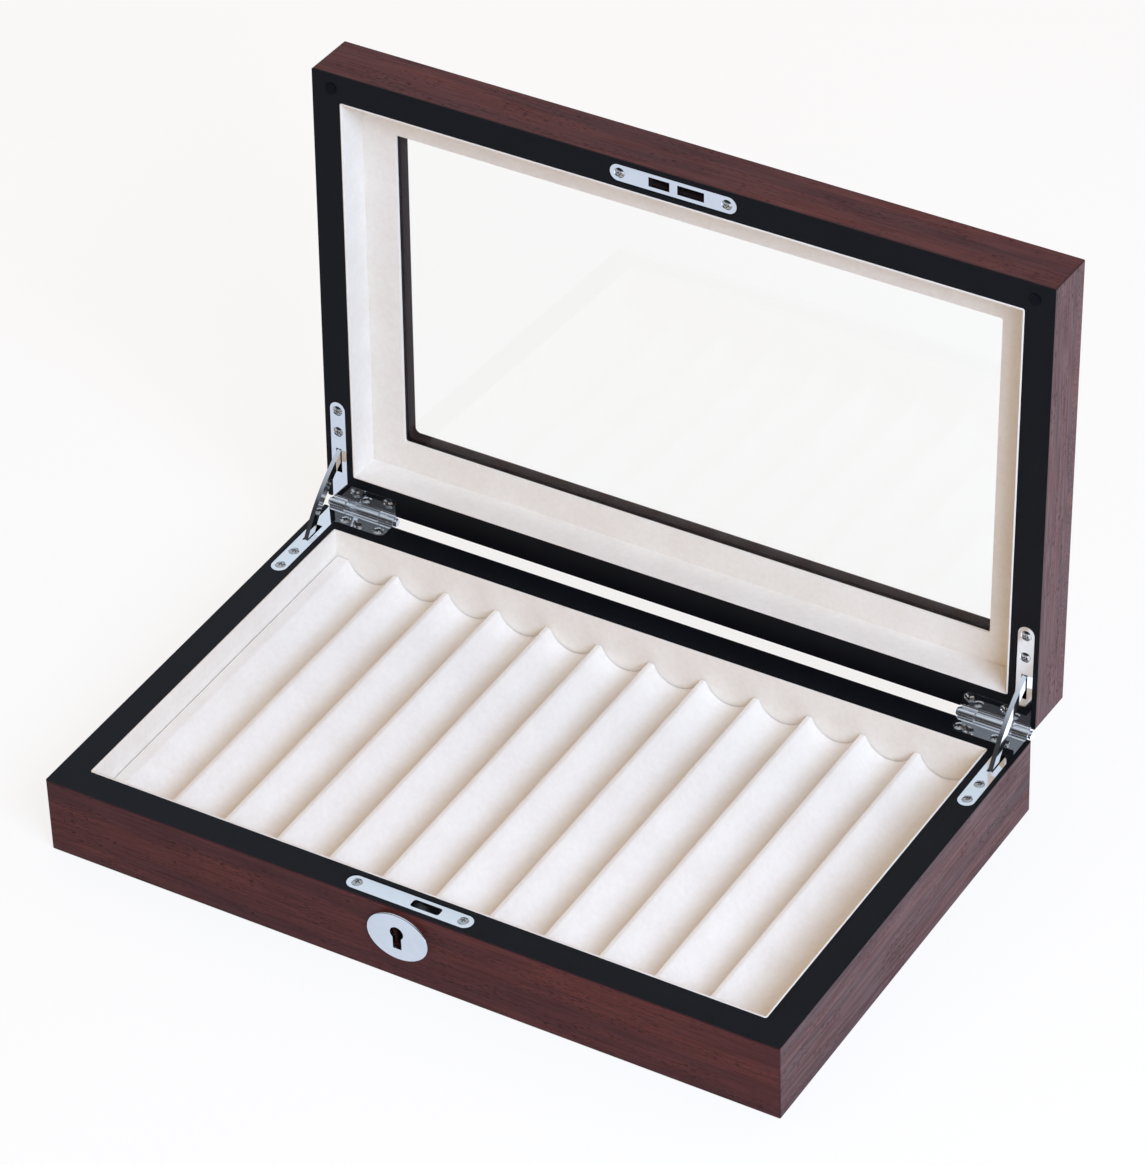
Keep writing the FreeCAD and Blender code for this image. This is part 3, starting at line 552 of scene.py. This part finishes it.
def polished_metal(name, colour_value, low, high):
    """Polished metal with faint smears; low and high bound its roughness, and hinge barrels are duller."""
    made, tree, shader, _ = new_material(name)
    where = object_place(tree)
    smears = noise(tree, where, scale=110.0, detail=4.0, roughness=0.6, distortion=0.6)
    tone = ramp(tree, smears, [(0.3, scaled(colour_value, 0.93)), (0.65, colour_value)])
    parts = separated(tree, where)
    reach = diagonal(tree, reckon(tree, "SUBTRACT", parts["Y"], HINGE_Y),
                     reckon(tree, "SUBTRACT", parts["Z"], HINGE_Z))
    barrel = reckon(tree, "MULTIPLY", reckon(tree, "LESS_THAN", reach, BARREL_REACH), BARREL_ROUGH)
    rough = reckon(tree, "MAXIMUM", span(tree, smears, low, high), barrel)
    fill(tree, shader, {"Base Color": tone, "Roughness": rough, "Metallic": 1.0})
    return made


def clear_glass(name):
    """Clear float glass with a very faint waviness, which lets the lamps' light through."""
    made, tree, shader, output = new_material(name)
    ripple = noise(tree, object_place(tree), scale=9.0, detail=1.0)
    fill(tree, shader, {"Base Color": (0.985, 0.995, 0.992, 1.0), "Roughness": 0.0, "IOR": 1.25,
                        "Transmission Weight": 1.0,
                        "Normal": bump(tree, ripple, distance=0.00002, strength=0.2)})
    open_way = add(tree, "ShaderNodeBsdfTransparent", {"Color": (0.95, 0.95, 0.94, 1.0)})
    both = mix_shaders(tree, light_path(tree)["Is Shadow Ray"], shader.outputs["BSDF"],
                       open_way.outputs["BSDF"])
    fill(tree, output, {"Surface": both})
    return made


def pressed_felt(name):
    """Dark pressed felt with flecks of lighter fibre."""
    colours = bpy.context.scene.pen_case_colours
    made, tree, shader, _ = new_material(name)
    fibre = noise(tree, object_place(tree), scale=900.0, detail=5.0, roughness=0.7, distortion=1.2)
    tone = ramp(tree, fibre, [(0.35, colours.felt), (0.75, scaled(colours.felt, 1.8))])
    fill(tree, shader, {"Base Color": tone, "Roughness": 1.0, "Sheen Weight": 0.2,
                        "Normal": bump(tree, fibre, distance=0.0003, strength=0.7)})
    return made


def plain_board(name):
    """Pressed board of the bottom panel: small chips of several browns."""
    colours = bpy.context.scene.pen_case_colours
    made, tree, shader, _ = new_material(name)
    where = stretched(tree, object_place(tree), (1, 1.6, 1))
    chips = noise(tree, where, scale=380.0, detail=4.0, roughness=0.7)
    tone = ramp(tree, chips, [(0.3, scaled(colours.board, 0.7)), (0.7, colours.board)])
    fill(tree, shader, {"Base Color": tone, "Roughness": 0.8,
                        "Normal": bump(tree, chips, distance=0.0001, strength=0.4)})
    return made


def soft_rubber(name):
    """Matt black rubber with a faint dusty bloom."""
    colours = bpy.context.scene.pen_case_colours
    made, tree, shader, _ = new_material(name)
    bloom = noise(tree, object_place(tree), scale=700.0, detail=3.0)
    tone = ramp(tree, bloom, [(0.4, colours.rubber), (0.8, scaled(colours.rubber, 1.3))])
    fill(tree, shader, {"Base Color": tone, "Roughness": span(tree, bloom, 0.65, 0.85),
                        "Specular IOR Level": 0.08})
    return made


def dress(node, finish):
    """Gives a node of the frame its finish."""
    mesh = frame["nodes"][node].data
    mesh.materials.clear()
    mesh.materials.append(finish)


# Surfaces

def grid_faces(rows, columns, closed=False):
    """Corner numbers of the quads between neighbours on a grid of points, closed both ways or neither."""
    row = np.arange(rows if closed else rows - 1)
    column = np.arange(columns if closed else columns - 1)
    row, column = np.meshgrid(row, column, indexing="ij")
    next_row = (row + 1) % rows
    next_column = (column + 1) % columns
    corners = [row * columns + column, next_row * columns + column,
               next_row * columns + next_column, row * columns + next_column]
    return np.stack(corners, -1).reshape(-1, 4)


def make_piece(name, points, faces, finish, body, replaced):
    """Mesh piece that stands for nodes of the frame and moves with a body."""
    mesh = bpy.data.meshes.new(name)
    mesh.from_pydata(points.reshape(-1, 3).tolist(), [], [list(face) for face in faces])
    mesh.update()
    mesh.polygons.foreach_set("use_smooth", np.ones(len(mesh.polygons), bool))
    mesh.materials.append(finish)
    piece = bpy.data.objects.new(name, mesh)
    bpy.context.scene.collection.objects.link(piece)
    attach(piece, body)
    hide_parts(*replaced)
    return piece


def carried_ring(half_x, half_y, profile, radius, steps=8):
    """Profile carried round a rectangle whose corners are round.

    Each point of the profile is (out, height) and has its own corner radius r. Round a corner, the point at
    angle a lies at (half_x + out - r + r cos a, half_y + out - r + r sin a) in that corner's quarter, at
    its height.
    """
    quarter = np.arange(4)[:, None] * math.pi / 2
    turn = (quarter + np.linspace(0, math.pi / 2, steps + 1)[None, :]).ravel()
    sign_x = np.repeat([1, -1, -1, 1], steps + 1)
    sign_y = np.repeat([1, 1, -1, -1], steps + 1)
    out, height = profile.T
    x = sign_x[:, None] * (half_x + out - radius) + radius * np.cos(turn)[:, None]
    y = sign_y[:, None] * (half_y + out - radius) + radius * np.sin(turn)[:, None]
    points = np.stack([x, y, np.broadcast_to(height, x.shape)], -1)
    return points, grid_faces(len(turn), len(out), closed=True)


def wrapped_profile(inner, outer, low, high, top_round, bottom_round, steps=6):
    """Closed outline of a wrapped board, anticlockwise from its lower outer corner, with rounded ends.

    Each corner is a quarter circle: centre + radius * (cos a, sin a).
    """
    corners = [(outer, low, bottom_round, -90, -1, 1), (outer, high, top_round, 0, -1, -1),
               (inner, high, top_round, 90, 1, -1), (inner, low, bottom_round, 180, 1, 1)]
    outline = []
    for out, height, radius, start, toward_out, toward_high in corners:
        turn = np.radians(start + np.linspace(0, 90, steps))
        outline.append(np.stack([out + toward_out * radius + radius * np.cos(turn),
                                 height + toward_high * radius + radius * np.sin(turn)], -1))
    return np.concatenate(outline)


def tray_height(x, sizes):
    """Height of the cloth across the tray.

    With aside the distance from the middle of the nearest groove, the groove's floor is
    rise - sqrt(radius squared - aside squared), measured from the top of the ridges, which are at 0.
    The lower of the two is taken, with a smooth change over the ridge's ease.
    """
    radius = sizes.groove_radius
    rise = radius - sizes.groove_depth
    pitch = 2 * math.sqrt(radius ** 2 - rise ** 2) + sizes.ridge_width
    half_row = (sizes.groove_count - 1) / 2
    nearest = np.clip(np.round(x / pitch + half_row), 0, sizes.groove_count - 1) - half_row
    aside = np.minimum(np.abs(x - nearest * pitch), radius)
    floor = rise - np.sqrt(radius ** 2 - aside ** 2)
    ease = sizes.ridge_ease
    blend = np.clip(0.5 - 0.5 * floor / ease, 0, 1)
    return floor * blend - ease * blend * (1 - blend)


def waver(across, along, waves):
    """Sum of slow waves, each weight * sin(back * along + right * across + phase), brought to -1 to 1."""
    total = sum(weight * np.sin(back * along + right * across + phase)
                for back, right, phase, weight in waves)
    return total / sum(weight for *_, weight in waves)


def edge_drop(position, half, radius):
    """How far a rounded edge falls at a place.

    With inside the distance past the start of the rounding, the edge is a quarter circle and falls by
    radius - sqrt(radius squared - inside squared).
    """
    inside = np.clip(radius - (half - np.abs(position)), 0, radius)
    return radius - np.sqrt(radius ** 2 - inside ** 2)


def edged_line(half, radius, count, steps=5):
    """Places from edge to edge: even in the middle, closer over the rounded edges.

    There they lie radius * (1 - cos a) from the edge, for even steps of the angle a.
    """
    fan = radius * (1 - np.cos(np.linspace(0, math.pi / 2, steps)))
    middle = np.linspace(-half + radius, half - radius, count)
    return np.concatenate([-half + fan[:-1], middle, half - fan[-2::-1]])


def edged_grid(high, radius, counts):
    """Grid of places across and along a sheet with rounded edges, whose highest corner is given."""
    return np.meshgrid(edged_line(high.x, radius, counts[0]), edged_line(high.y, radius, counts[1]))


def slab(across, along, height, foot):
    """Closed block between a sheet of points (across, along, height) and a flat side at the foot."""
    rows, columns = across.shape
    sheet = np.stack([across, along, height], -1).reshape(-1, 3)
    order = np.arange(rows * columns).reshape(rows, columns)
    rim = np.concatenate([order[0, :-1], order[:-1, -1], order[-1, :0:-1], order[:0:-1, 0]])
    points = np.concatenate([sheet, sheet[rim] * (1, 1, 0) + (0, 0, foot)])
    low = rows * columns + np.arange(len(rim))
    skirt = np.stack([rim, low, np.roll(low, -1), np.roll(rim, -1)], -1)
    return points, [*grid_faces(rows, columns)[:, ::-1], *skirt, low[::-1]]


# Operators

class PENCASE_OT_boards(bpy.types.Operator):
    """Dress the boards of base and lid in veneer, with the grain along each board."""

    bl_idname = "pencase.boards"
    bl_label = "Veneer the boards"

    def execute(self, context):
        lid_top = shut_span("lid_top_panel")[1][2]
        grains = {"front": 0.0, "back": 0.0, "right": -math.pi / 2, "left": -math.pi / 2}
        for row, (body, outer) in enumerate((("base", 0.0), ("lid", lid_top))):
            for column, (side, grain) in enumerate(grains.items()):
                shift = np.multiply(BOARD_SHIFT, (column, row, column))
                finish = veneer("veneer_%s_%s" % (body, side), body, grain, shift, outer)
                dress("%s_%s_wall" % (body, side), finish)
        dress("lid_top_panel", veneer("veneer_top_panel", "lid", 0.0, PANEL_SHIFT, lid_top))
        return {"FINISHED"}


class PENCASE_OT_rims(bpy.types.Operator):
    """Dress the black rims and the bumpers on the lid's rim."""

    bl_idname = "pencase.rims"
    bl_label = "Lacquer the rims"

    def execute(self, context):
        for body in ("base", "lid"):
            dress("%s_rim_band" % body, lacquer("black_lacquer_%s" % body, body))
        dress("lid_bumpers", soft_rubber("bumper_rubber"))
        return {"FINISHED"}


class PENCASE_OT_underside(bpy.types.Operator):
    """Dress the bottom panel and make the felt under it."""

    bl_idname = "pencase.underside"
    bl_label = "Finish the underside"

    def execute(self, context):
        dress("bottom_panel", plain_board("bottom_board"))
        sizes = context.scene.pen_case_sizes
        across, along = edged_grid(FELT_HIGH, sizes.felt_edge, FELT_STEPS)
        height = FELT_LOW.z + sizes.felt_waver * (waver(across, along, FELT_WAVES) + 1) / 2
        height += edge_drop(across, FELT_HIGH.x, sizes.felt_edge)
        height += edge_drop(along, FELT_HIGH.y, sizes.felt_edge)
        points, faces = slab(across, along, height, FELT_HIGH.z)
        outward = [face[::-1] for face in faces]
        felt = make_piece("felt_sheet", points, outward, pressed_felt("underside_felt"), "base",
                          ["underside_felt"])
        return {"FINISHED"}


class PENCASE_OT_metalwork(bpy.types.Operator):
    """Dress the hinges, stays, screws and lock."""

    bl_idname = "pencase.metalwork"
    bl_label = "Polish the metalwork"

    def execute(self, context):
        colours = context.scene.pen_case_colours
        plate = polished_metal("polished_plate", colours.polish, low=0.03, high=0.09)
        bright = polished_metal("bright_bar", colours.polish, low=0.04, high=0.10)
        nickel = polished_metal("screw_nickel", colours.nickel, low=0.08, high=0.16)
        steel = polished_metal("lock_steel", colours.steel, low=0.28, high=0.42)
        plates = ["hinge_base_leaf_right", "hinge_base_leaf_left", "hinge_lid_leaf_right",
                  "hinge_lid_leaf_left", "lock_plate", "strike_plate", "escutcheon"]
        bars = ["hinge_pin_right", "hinge_pin_left", "stay_arm_right", "stay_arm_left"]
        screws = ["base_hinge_screws", "lid_hinge_screws", "lock_plate_screws", "strike_plate_screws"]
        lock = ["lock_case", "lock_post", "lock_hook"]
        for nodes, finish in ((plates, plate), (bars, bright), (screws, nickel), (lock, steel)):
            for node in nodes:
                dress(node, finish)
        return {"FINISHED"}


class PENCASE_OT_window(bpy.types.Operator):
    """Give the pane in the lid its clear glass."""

    bl_idname = "pencase.window"
    bl_label = "Glaze the lid"

    def execute(self, context):
        dress("window_glass", clear_glass("clear_glass"))
        return {"FINISHED"}


class PENCASE_OT_tray(bpy.types.Operator):
    """Make the cloth-covered tray with its half-round grooves."""

    bl_idname = "pencase.tray"
    bl_label = "Make the tray"

    def execute(self, context):
        sizes = context.scene.pen_case_sizes
        across, along = edged_grid(TRAY_HIGH, sizes.tray_edge, TRAY_STEPS)
        height = TRAY_HIGH.z + tray_height(across, sizes)
        height += sizes.tray_waver * (waver(across, along, TRAY_WAVES) - 1)
        height -= edge_drop(across, TRAY_HIGH.x, sizes.tray_edge)
        height -= edge_drop(along, TRAY_HIGH.y, sizes.tray_edge)
        points, faces = slab(across, along, height, TRAY_LOW.z)
        make_piece("grooved_tray", points, faces, velour("tray_velour"), "base", ["pen_tray"])
        return {"FINISHED"}


class PENCASE_OT_base_lining(bpy.types.Operator):
    """Make the cloth lining round the inside of the base."""

    bl_idname = "pencase.base_lining"
    bl_label = "Line the base"

    def execute(self, context):
        sizes = context.scene.pen_case_sizes
        clear = sizes.lining_clear
        low = BASE_LINING_LOW.z
        high = RIM_HIGH.z + sizes.lining_proud
        fold = FOLD_ROUND * (LINING - clear)
        profile = wrapped_profile(-LINING, -clear, low, high, fold, HIDDEN_ROUND * LINING)
        points, faces = carried_ring(INNER_X, INNER_Y, profile, sizes.lining_corner + profile[:, 0])
        lining = make_piece("base_lining", points, faces, velour("base_lining_velour"), "base",
                            ["base_lining_%s" % side for side in SIDES])
        return {"FINISHED"}


class PENCASE_OT_lid_lining(bpy.types.Operator):
    """Make the cloth lining round the inside of the lid and the border round its window."""

    bl_idname = "pencase.lid_lining"
    bl_label = "Line the lid"

    def execute(self, context):
        sizes = context.scene.pen_case_sizes
        finish = velour("lid_lining_velour")
        self.walls(sizes, finish)
        self.border(sizes, finish)
        return {"FINISHED"}

    def walls(self, sizes, finish):
        """Lining of the lid's four walls."""
        clear = sizes.lining_clear
        low = shut_span("lid_rim_band")[0][2] - sizes.lining_proud
        high = shut_span("lid_lining_right")[1][2] - clear
        fold = FOLD_ROUND * (LINING - clear)
        profile = wrapped_profile(-LINING, -clear, low, high, HIDDEN_ROUND * LINING, fold)
        points, faces = carried_ring(INNER_X, INNER_Y, profile, sizes.lining_corner + profile[:, 0])
        points = lid_turned(points, -OPEN_ANGLE)
        lining = make_piece("lid_lining", points, faces, finish, "lid",
                            ["lid_lining_%s" % side for side in SIDES])

    def border(self, sizes, finish):
        """Lined border round the window, which lies a little to the back of the middle."""
        clear = sizes.lining_clear
        low, high = shut_span("window_lining")
        window_x, window_y, shift = window_reach()
        border = INNER_X - clear - window_x
        profile = wrapped_profile(0.0, border, low[2], high[2] - clear, HIDDEN_ROUND * LINING,
                                  sizes.window_edge)
        inward = 1 - profile[:, 0] / border
        radius = sizes.window_corner * (inward + OUTER_CORNER)
        points, faces = carried_ring(window_x, window_y, profile, radius)
        points[..., 1] += shift * inward
        points = lid_turned(points, -OPEN_ANGLE)
        edging = make_piece("window_border", points, faces, finish, "lid", ["window_lining"])


class PENCASE_OT_stage(bpy.types.Operator):
    """Set up the floor, the light and the camera."""

    bl_idname = "pencase.stage"
    bl_label = "Set the stage"

    def execute(self, context):
        stage = context.scene.pen_case_stage
        context.scene.view_settings.view_transform = "Standard"
        self.floor(context, stage)
        self.sky(context, stage)
        self.light(context, stage, "key_light", stage.key_place, stage.key_size, stage.key_power)
        self.light(context, stage, "overhead_light", stage.overhead_place, stage.overhead_size,
                   stage.overhead_power)
        self.camera(context, stage)
        return {"FINISHED"}

    def seen_rays(self, tree):
        """1 for rays from the camera, also on through glass, and 0 for all others."""
        path = light_path(tree)
        bounces = reckon(tree, "ADD", path["Diffuse Depth"], path["Glossy Depth"])
        straight = reckon(tree, "LESS_THAN", bounces, 0.5)
        through = reckon(tree, "MULTIPLY", path["Is Transmission Ray"], straight)
        return reckon(tree, "MAXIMUM", path["Is Camera Ray"], through)

    def mirrored_rays(self, tree):
        """1 for rays from reflections and 0 for all others."""
        path = light_path(tree)
        bounced = reckon(tree, "GREATER_THAN", path["Glossy Depth"], 0.5)
        return reckon(tree, "MULTIPLY", path["Is Glossy Ray"], bounced)

    def floor(self, context, stage):
        """Wide pale sheet that shows nearly white and keeps the shadow, tinted where metal mirrors it."""
        corners = np.array([(-1, -1, 0), (1, -1, 0), (1, 1, 0), (-1, 1, 0)]) * FLOOR_REACH
        mesh = bpy.data.meshes.new("floor")
        mesh.from_pydata(corners.tolist(), [], [(0, 1, 2, 3)])
        floor = bpy.data.objects.new("floor", mesh)
        context.scene.collection.objects.link(floor)
        floor.location.z = -FLOOR_DROP
        made, tree, shader, output = new_material("pale_floor")
        fill(tree, shader, {"Base Color": solid([FLOOR_GREY] * 3), "Roughness": 0.9,
                            "Specular IOR Level": 0.0})
        share = reckon(tree, "MULTIPLY", self.seen_rays(tree), stage.floor_pale)
        seen = mix_shaders(tree, share, shader.outputs["BSDF"], emission(tree, WHITE, stage.floor_glow))
        right = near(tree, separated(tree, object_place(tree))["X"], *SIDE_FLOOR)
        tint = mix(tree, right, solid(stage.near_tint), solid(stage.side_tint))
        mirrored = emission(tree, tint, span(tree, right, 1.0, stage.side_glow))
        fill(tree, output, {"Surface": mix_shaders(tree, self.mirrored_rays(tree), seen, mirrored)})
        mesh.materials.append(made)

    def sky(self, context, stage):
        """Even pale light, shown white behind the case and as a room with a bright sky in mirrors."""
        world = bpy.data.worlds.new("studio")
        world.use_nodes = True
        tree = world.node_tree
        tree.nodes.clear()
        toward = separated(tree, object_place(tree))
        bright = reckon(tree, "MAXIMUM", near(tree, toward["Y"], *SKY_BEHIND),
                        near(tree, toward["Z"], *SKY_ABOVE))
        room = mix(tree, bright, solid(stage.room_tint), solid(stage.sky_tint))
        seen = self.seen_rays(tree)
        mirrored = self.mirrored_rays(tree)
        tint = mix(tree, seen, mix(tree, mirrored, solid(stage.shade_tint), room), WHITE)
        strength = span(tree, reckon(tree, "MAXIMUM", seen, mirrored), stage.sky, 1.0)
        background = add(tree, "ShaderNodeBackground", {"Color": tint, "Strength": strength})
        add(tree, "ShaderNodeOutputWorld", {"Surface": background.outputs["Background"]})
        context.scene.world = world

    def light(self, context, stage, name, hangs, size, watts):
        """Square soft light that faces the case and shows in no mirror or glass."""
        lamp = bpy.data.lights.new(name, "AREA")
        lamp.size = size
        lamp.energy = watts
        lamp.color = stage.light_tint
        made = bpy.data.objects.new(name, lamp)
        context.scene.collection.objects.link(made)
        made.location = hangs
        made.visible_glossy = False
        made.visible_transmission = False
        toward = Vector(stage.light_target) - Vector(hangs)
        made.rotation_euler = toward.to_track_quat("-Z", "Y").to_euler()

    def camera(self, context, stage):
        """Camera at the given place, azimuth, elevation and roll, with its centre off the image's."""
        azimuth, elevation, roll = stage.azimuth, stage.elevation, stage.roll
        forward = Vector((-math.sin(azimuth) * math.cos(elevation),
                          math.cos(azimuth) * math.cos(elevation), -math.sin(elevation)))
        level = forward.cross(Vector((0, 0, 1))).normalized()
        above = level.cross(forward)
        right = math.cos(roll) * level + math.sin(roll) * above
        up = math.cos(roll) * above - math.sin(roll) * level
        lens = bpy.data.cameras.new("camera")
        longer = max(stage.image_width, stage.image_height)
        lens.lens = stage.focal / longer * lens.sensor_width
        lens.shift_x = (stage.image_width / 2 - stage.centre[0]) / longer
        lens.shift_y = (stage.centre[1] - stage.image_height / 2) / longer
        lens.clip_end = 50.0
        camera = bpy.data.objects.new("camera", lens)
        context.scene.collection.objects.link(camera)
        turn = Matrix((right, up, -forward)).transposed().to_4x4()
        camera.matrix_world = Matrix.Translation(Vector(stage.camera_place)) @ turn
        context.scene.camera = camera


GROUPS = {"pen_case_sizes": CaseSizes, "pen_case_colours": CaseColours, "pen_case_stage": CaseStage}
OPERATORS = (PENCASE_OT_boards, PENCASE_OT_rims, PENCASE_OT_underside, PENCASE_OT_metalwork,
             PENCASE_OT_window, PENCASE_OT_tray, PENCASE_OT_base_lining, PENCASE_OT_lid_lining,
             PENCASE_OT_stage)


class PENCASE_PT_panel(bpy.types.Panel):
    """Lists the steps that dress the pen case, and their settings."""

    bl_idname = "PENCASE_PT_panel"
    bl_label = "Pen case"
    bl_space_type = "VIEW_3D"
    bl_region_type = "UI"
    bl_category = "Pen case"

    def draw(self, context):
        for operator in OPERATORS:
            self.layout.operator(operator.bl_idname)
        for group in GROUPS:
            settings = getattr(context.scene, group)
            box = self.layout.box()
            for name in settings.__annotations__:
                box.prop(settings, name)


def register():
    for group in GROUPS.values():
        bpy.utils.register_class(group)
    for name, group in GROUPS.items():
        setattr(bpy.types.Scene, name, PointerProperty(type=group))
    for operator in OPERATORS:
        bpy.utils.register_class(operator)
    bpy.utils.register_class(PENCASE_PT_panel)


def unregister():
    bpy.utils.unregister_class(PENCASE_PT_panel)
    for operator in reversed(OPERATORS):
        bpy.utils.unregister_class(operator)
    for name in GROUPS:
        delattr(bpy.types.Scene, name)
    for group in reversed(GROUPS.values()):
        bpy.utils.unregister_class(group)


def main():
    register()
    bpy.ops.pencase.boards()
    bpy.ops.pencase.rims()
    bpy.ops.pencase.underside()
    bpy.ops.pencase.metalwork()
    bpy.ops.pencase.window()
    bpy.ops.pencase.tray()
    bpy.ops.pencase.base_lining()
    bpy.ops.pencase.lid_lining()
    bpy.ops.pencase.stage()


if __name__ == "__main__":
    main()
